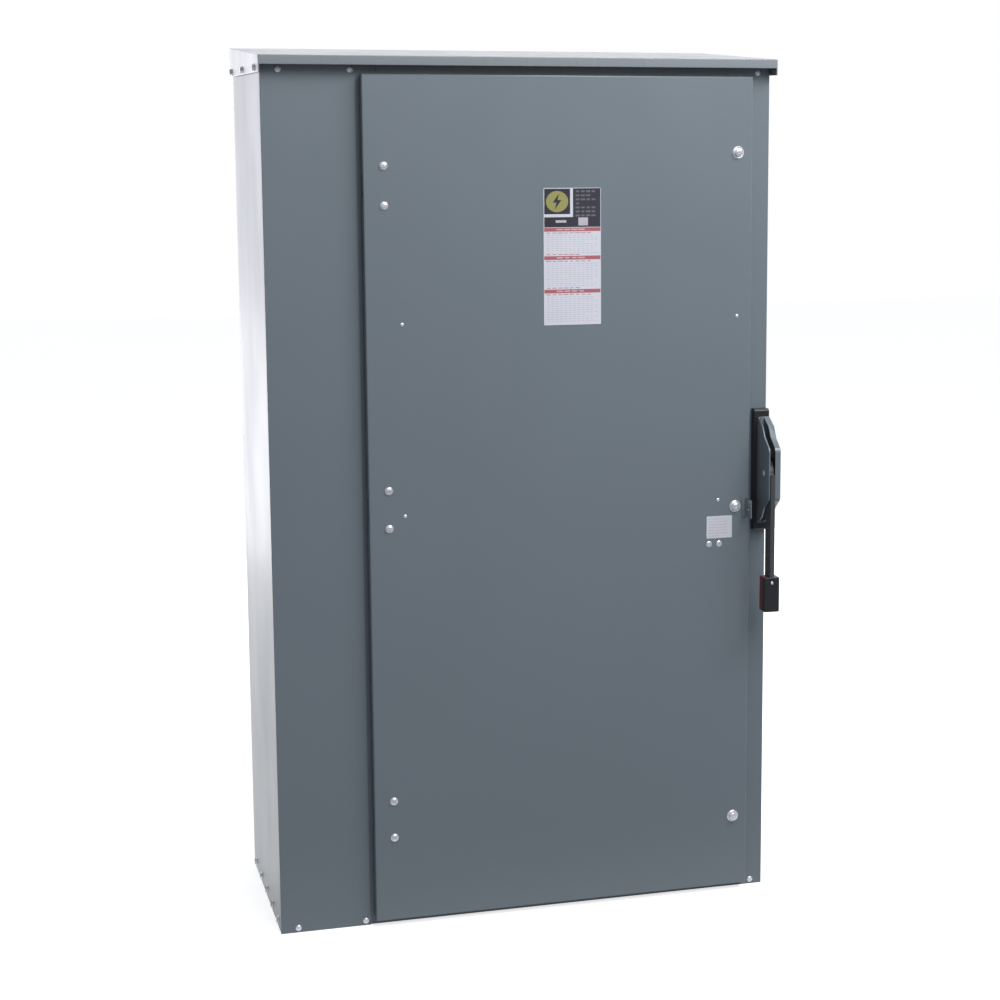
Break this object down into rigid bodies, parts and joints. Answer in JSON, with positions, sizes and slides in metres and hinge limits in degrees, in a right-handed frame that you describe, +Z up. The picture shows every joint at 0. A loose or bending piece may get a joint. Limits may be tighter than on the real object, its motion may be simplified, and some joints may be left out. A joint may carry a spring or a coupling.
{
  "type": "ac disconnect box",
  "caption": "Tall rainproof steel wall enclosure with a side wiring gutter, a hinged bolted door, an external side lever and a fusible visible-blade switch inside.",
  "frame": {"origin": "centre of the rectangle of four wall bolt holes, on the wall plane", "axes": "+Z up along the height, +Y into the wall, so the door faces -Y, +X to the right when facing the door"},
  "size_m": [1.062, 0.537, 1.788],
  "materials": {
    "enclosure_paint": "grey baked enamel on sheet steel",
    "door_paint": "grey baked enamel on the folded door",
    "zinc_fastener": "bright zinc plate",
    "hinge_steel": "plated steel",
    "black_moulding": "black moulded plastic",
    "red_moulding": "red moulded plastic",
    "housing_paint": "dark grey enamel",
    "lever_steel": "black oxide steel",
    "gasket_foam": "black closed-cell seal",
    "moulded_insulation": "glass-filled moulding",
    "plated_copper": "bare and tinned copper",
    "lug_aluminium": "tin-plated aluminium",
    "fuse_tube": "glass-melamine tube with metal ends",
    "clear_guard": "clear polycarbonate",
    "label_film": "printed polyester film"
  },
  "bodies": {
    "enclosure": {"back_panel": "enclosure_paint", "left_side_wall": "enclosure_paint", "right_side_wall": "enclosure_paint", "top_panel": "enclosure_paint", "bottom_panel": "enclosure_paint", "bottom_panel_screws": "zinc_fastener", "rain_cap": "enclosure_paint", "cap_screws": "zinc_fastener", "gutter_trim": "enclosure_paint", "frame_screws": "zinc_fastener", "hinge_post": "enclosure_paint", "door_header_rail": "enclosure_paint", "door_sill_rail": "enclosure_paint", "hinge_frame_leaves": "hinge_steel", "hinge_pins": "zinc_fastener", "latch_nuts": "zinc_fastener", "handle_base": "black_moulding", "handle_housing": "housing_paint", "switch_base": "moulded_insulation", "base_standoffs": "lug_aluminium", "crossbar_bearings": "moulded_insulation", "load_terminals": "plated_copper", "terminal_lugs": "lug_aluminium", "phase_barriers": "moulded_insulation", "line_shield": "clear_guard", "ground_bar": "lug_aluminium", "line_jaw_1": "plated_copper", "line_jaw_2": "plated_copper", "line_jaw_3": "plated_copper", "hinge_clip_1": "plated_copper", "hinge_clip_2": "plated_copper", "hinge_clip_3": "plated_copper", "arc_chute_1": "moulded_insulation", "arc_chute_2": "moulded_insulation", "arc_chute_3": "moulded_insulation", "fuse_1": "fuse_tube", "fuse_2": "fuse_tube", "fuse_3": "fuse_tube"},
    "door": {"door_panel": "door_paint", "door_stiffener": "enclosure_paint", "door_gasket": "gasket_foam", "hinge_door_leaves": "hinge_steel", "hinge_screws": "zinc_fastener", "door_rivets": "zinc_fastener", "door_hasp_ear": "door_paint", "nameplate": "label_film", "rating_label": "label_film"},
    "latch_bolt_upper": {"latch_bolt_upper": "zinc_fastener"},
    "latch_bolt_middle": {"latch_bolt_middle": "zinc_fastener"},
    "latch_bolt_lower": {"latch_bolt_lower": "zinc_fastener"},
    "interlock_release": {"interlock_release": "zinc_fastener"},
    "handle": {"handle_lever": "lever_steel", "handle_grip_front": "black_moulding", "handle_grip_rear": "red_moulding"},
    "drive_link": {"drive_link": "lever_steel"},
    "crossbar": {"crossbar": "moulded_insulation", "blade_1": "plated_copper", "blade_2": "plated_copper", "blade_3": "plated_copper"}
  },
  "joints": [
    {"name": "door_hinge", "type": "hinge", "parent": "enclosure", "child": "door", "pos_m": [-0.3185, -0.454, 0], "axis": [0, 0, -1], "range_deg": [0, 105]},
    {"name": "latch_upper_slide", "type": "slide", "parent": "door", "child": "latch_bolt_upper", "axis": [0, -1, 0], "range_m": [0, 0.012]},
    {"name": "latch_middle_slide", "type": "slide", "parent": "door", "child": "latch_bolt_middle", "axis": [0, -1, 0], "range_m": [0, 0.012]},
    {"name": "latch_lower_slide", "type": "slide", "parent": "door", "child": "latch_bolt_lower", "axis": [0, -1, 0], "range_m": [0, 0.012]},
    {"name": "interlock_release_turn", "type": "hinge", "parent": "door", "child": "interlock_release", "pos_m": [0.406, -0.466, -0.017], "axis": [0, -1, 0], "range_deg": [0, 90]},
    {"name": "handle_swing", "type": "hinge", "parent": "enclosure", "child": "handle", "pos_m": [0.502, -0.5, 0.041], "axis": [-1, 0, 0], "range_deg": [0, 180]},
    {"name": "link_pivot", "type": "hinge", "parent": "handle", "child": "drive_link", "pos_m": [0.511, -0.5, 0.061], "axis": [-1, 0, 0], "range_deg": [-180, 0]},
    {"name": "crossbar_turn", "type": "hinge", "parent": "enclosure", "child": "crossbar", "pos_m": [0.09, -0.19, 0.041], "axis": [-1, 0, 0], "range_deg": [0, 71.01]}
  ],
  "couplings": [
    {"joint": "link_pivot", "follows": "handle_swing", "ratio": -1},
    {"joint": "crossbar_turn", "follows": "handle_swing", "ratio": 0.39444}
  ]
}
